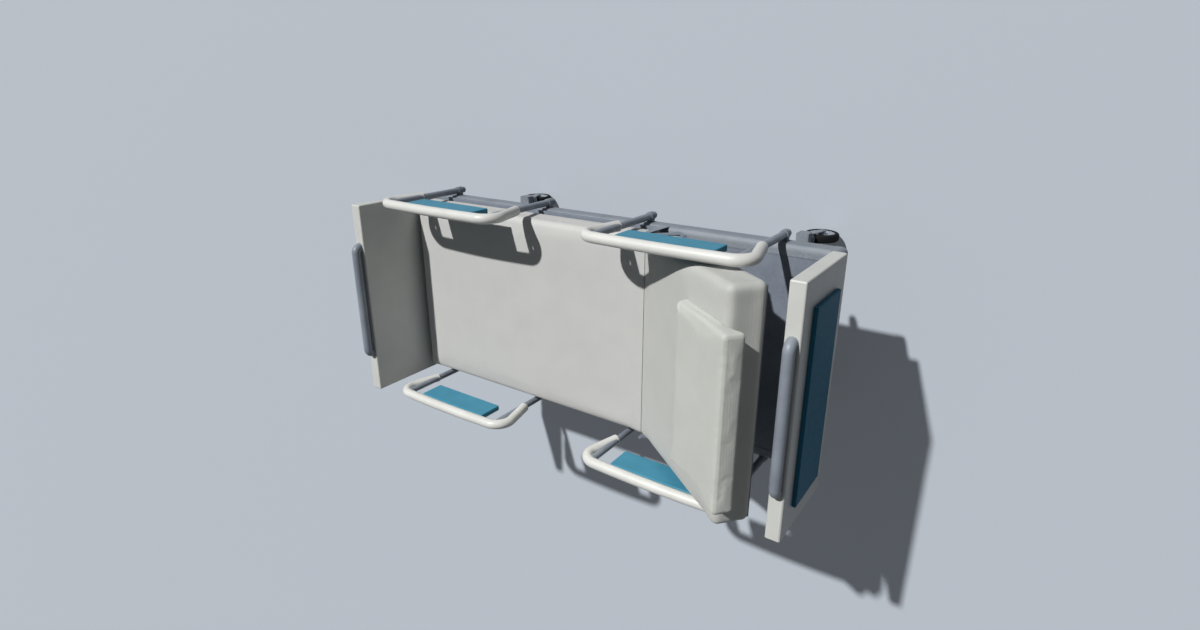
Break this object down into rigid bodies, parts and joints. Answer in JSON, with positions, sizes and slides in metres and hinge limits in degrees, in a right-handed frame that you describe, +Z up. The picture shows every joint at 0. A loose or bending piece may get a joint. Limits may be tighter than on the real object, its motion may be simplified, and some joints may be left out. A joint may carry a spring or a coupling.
{
  "type": "hospital bed",
  "caption": "Height-adjustable hospital bed with raised backrest, mattress, pillow, lift-off end boards, drop side rails and braked swivel castors.",
  "frame": {"origin": "on the floor under the middle of the bed's length and width, at the castors' lowest points", "axes": "+X from foot to head along the bed, +Y to the left of a person lying on it, +Z up"},
  "size_m": [2.2326, 1.02, 1.301],
  "materials": {
    "powder_coat_white": "satin",
    "moulded_board_white": "satin",
    "powder_coat_grey": "satin",
    "deck_panel_grey": "matte",
    "moulded_teal": "satin",
    "mattress_cover": "matte",
    "pillow_case": "matte",
    "castor_tyre": "matte",
    "castor_hub": "satin",
    "moulded_dark_grey": "matte"
  },
  "bodies": {
    "base": {"base_frame": "powder_coat_grey", "column_outer_foot": "powder_coat_white", "column_outer_head": "powder_coat_white"},
    "brake": {"brake_bar": "moulded_dark_grey"},
    "swivel_foot_right": {"castor_fork_foot_right": "powder_coat_grey"},
    "swivel_foot_left": {"castor_fork_foot_left": "powder_coat_grey"},
    "swivel_head_right": {"castor_fork_head_right": "powder_coat_grey"},
    "swivel_head_left": {"castor_fork_head_left": "powder_coat_grey"},
    "wheel_foot_right": {"wheel_hub_foot_right": "castor_hub", "wheel_tyre_foot_right": "castor_tyre"},
    "wheel_foot_left": {"wheel_hub_foot_left": "castor_hub", "wheel_tyre_foot_left": "castor_tyre"},
    "wheel_head_right": {"wheel_hub_head_right": "castor_hub", "wheel_tyre_head_right": "castor_tyre"},
    "wheel_head_left": {"wheel_hub_head_left": "castor_hub", "wheel_tyre_head_left": "castor_tyre"},
    "middle_stages": {"column_middle_foot": "powder_coat_grey", "column_middle_head": "powder_coat_grey"},
    "lift": {"column_inner_foot": "powder_coat_grey", "column_inner_head": "powder_coat_grey", "deck_frame": "powder_coat_grey", "seat_panel": "deck_panel_grey", "head_tray": "powder_coat_grey", "drive_housing": "moulded_dark_grey", "control_box": "moulded_dark_grey", "mattress_flat": "mattress_cover"},
    "drive": {"drive_rod": "powder_coat_grey"},
    "backrest": {"backrest_panel": "deck_panel_grey", "mattress_back": "mattress_cover", "pillow": "pillow_case"},
    "footboard": {"footboard": "moulded_board_white", "footboard_handle": "powder_coat_grey", "footboard_accent": "moulded_teal"},
    "headboard": {"headboard": "moulded_board_white", "headboard_handle": "powder_coat_grey", "headboard_accent": "moulded_teal"},
    "rail_foot_right": {"rail_loop_foot_right": "powder_coat_white", "rail_panel_foot_right": "moulded_teal", "rail_post_a_foot_right": "powder_coat_grey", "rail_post_b_foot_right": "powder_coat_grey"},
    "rail_foot_left": {"rail_loop_foot_left": "powder_coat_white", "rail_panel_foot_left": "moulded_teal", "rail_post_a_foot_left": "powder_coat_grey", "rail_post_b_foot_left": "powder_coat_grey"},
    "rail_head_right": {"rail_loop_head_right": "powder_coat_white", "rail_panel_head_right": "moulded_teal", "rail_post_a_head_right": "powder_coat_grey", "rail_post_b_head_right": "powder_coat_grey"},
    "rail_head_left": {"rail_loop_head_left": "powder_coat_white", "rail_panel_head_left": "moulded_teal", "rail_post_a_head_left": "powder_coat_grey", "rail_post_b_head_left": "powder_coat_grey"},
    "catch_foot_right": {"rail_catch_foot_right": "moulded_dark_grey"},
    "catch_foot_left": {"rail_catch_foot_left": "moulded_dark_grey"},
    "catch_head_right": {"rail_catch_head_right": "moulded_dark_grey"},
    "catch_head_left": {"rail_catch_head_left": "moulded_dark_grey"}
  },
  "joints": [
    {"name": "brake_pedal", "type": "hinge", "parent": "base", "child": "brake", "pos_m": [-0.85, 0, 0.206], "axis": [0, 1, 0], "range_deg": [-12, 12]},
    {"name": "castor_swivel_foot_right", "type": "hinge", "parent": "base", "child": "swivel_foot_right", "pos_m": [-0.785, -0.38, 0.19], "axis": [0, 0, 1], "continuous": true},
    {"name": "castor_swivel_foot_left", "type": "hinge", "parent": "base", "child": "swivel_foot_left", "pos_m": [-0.785, 0.38, 0.19], "axis": [0, 0, 1], "continuous": true},
    {"name": "castor_swivel_head_right", "type": "hinge", "parent": "base", "child": "swivel_head_right", "pos_m": [0.785, -0.38, 0.19], "axis": [0, 0, 1], "continuous": true},
    {"name": "castor_swivel_head_left", "type": "hinge", "parent": "base", "child": "swivel_head_left", "pos_m": [0.785, 0.38, 0.19], "axis": [0, 0, 1], "continuous": true},
    {"name": "wheel_spin_foot_right", "type": "hinge", "parent": "swivel_foot_right", "child": "wheel_foot_right", "pos_m": [-0.82, -0.38, 0.075], "axis": [0, 1, 0], "continuous": true},
    {"name": "wheel_spin_foot_left", "type": "hinge", "parent": "swivel_foot_left", "child": "wheel_foot_left", "pos_m": [-0.82, 0.38, 0.075], "axis": [0, 1, 0], "continuous": true},
    {"name": "wheel_spin_head_right", "type": "hinge", "parent": "swivel_head_right", "child": "wheel_head_right", "pos_m": [0.82, -0.38, 0.075], "axis": [0, 1, 0], "continuous": true},
    {"name": "wheel_spin_head_left", "type": "hinge", "parent": "swivel_head_left", "child": "wheel_head_left", "pos_m": [0.82, 0.38, 0.075], "axis": [0, 1, 0], "continuous": true},
    {"name": "height", "type": "slide", "parent": "base", "child": "lift", "axis": [0, 0, 1], "range_m": [-0.18, 0.14]},
    {"name": "middle_stage_slide", "type": "slide", "parent": "base", "child": "middle_stages", "axis": [0, 0, 1], "range_m": [-0.09, 0.07]},
    {"name": "backrest_angle", "type": "hinge", "parent": "lift", "child": "backrest", "pos_m": [0.33, 0, 0.795], "axis": [0, -1, 0], "range_deg": [-37, 30], "deforming": ["pillow"]},
    {"name": "drive_slide", "type": "slide", "parent": "lift", "child": "drive", "axis": [1, 0, 0], "range_m": [-0.152, 0.124]},
    {"name": "footboard_lift_off", "type": "slide", "parent": "lift", "child": "footboard", "axis": [0, 0, 1], "range_m": [0, 0.1]},
    {"name": "headboard_lift_off", "type": "slide", "parent": "lift", "child": "headboard", "axis": [0, 0, 1], "range_m": [0, 0.1]},
    {"name": "rail_drop_foot_right", "type": "slide", "parent": "lift", "child": "rail_foot_right", "axis": [0, 0, 1], "range_m": [-0.215, 0]},
    {"name": "rail_drop_foot_left", "type": "slide", "parent": "lift", "child": "rail_foot_left", "axis": [0, 0, 1], "range_m": [-0.215, 0]},
    {"name": "rail_drop_head_right", "type": "slide", "parent": "lift", "child": "rail_head_right", "axis": [0, 0, 1], "range_m": [-0.215, 0]},
    {"name": "rail_drop_head_left", "type": "slide", "parent": "lift", "child": "rail_head_left", "axis": [0, 0, 1], "range_m": [-0.215, 0]},
    {"name": "catch_pull_foot_right", "type": "slide", "parent": "lift", "child": "catch_foot_right", "axis": [0, 0, -1], "range_m": [0, 0.008], "stiffness_N_per_m": 800, "springref_m": -0.003},
    {"name": "catch_pull_foot_left", "type": "slide", "parent": "lift", "child": "catch_foot_left", "axis": [0, 0, -1], "range_m": [0, 0.008], "stiffness_N_per_m": 800, "springref_m": -0.003},
    {"name": "catch_pull_head_right", "type": "slide", "parent": "lift", "child": "catch_head_right", "axis": [0, 0, -1], "range_m": [0, 0.008], "stiffness_N_per_m": 800, "springref_m": -0.003},
    {"name": "catch_pull_head_left", "type": "slide", "parent": "lift", "child": "catch_head_left", "axis": [0, 0, -1], "range_m": [0, 0.008], "stiffness_N_per_m": 800, "springref_m": -0.003}
  ],
  "couplings": [
    {"joint": "middle_stage_slide", "follows": "height", "ratio": 0.5},
    {"joint": "drive_slide", "follows": "backrest_angle", "m_per_rad": 0.233}
  ]
}
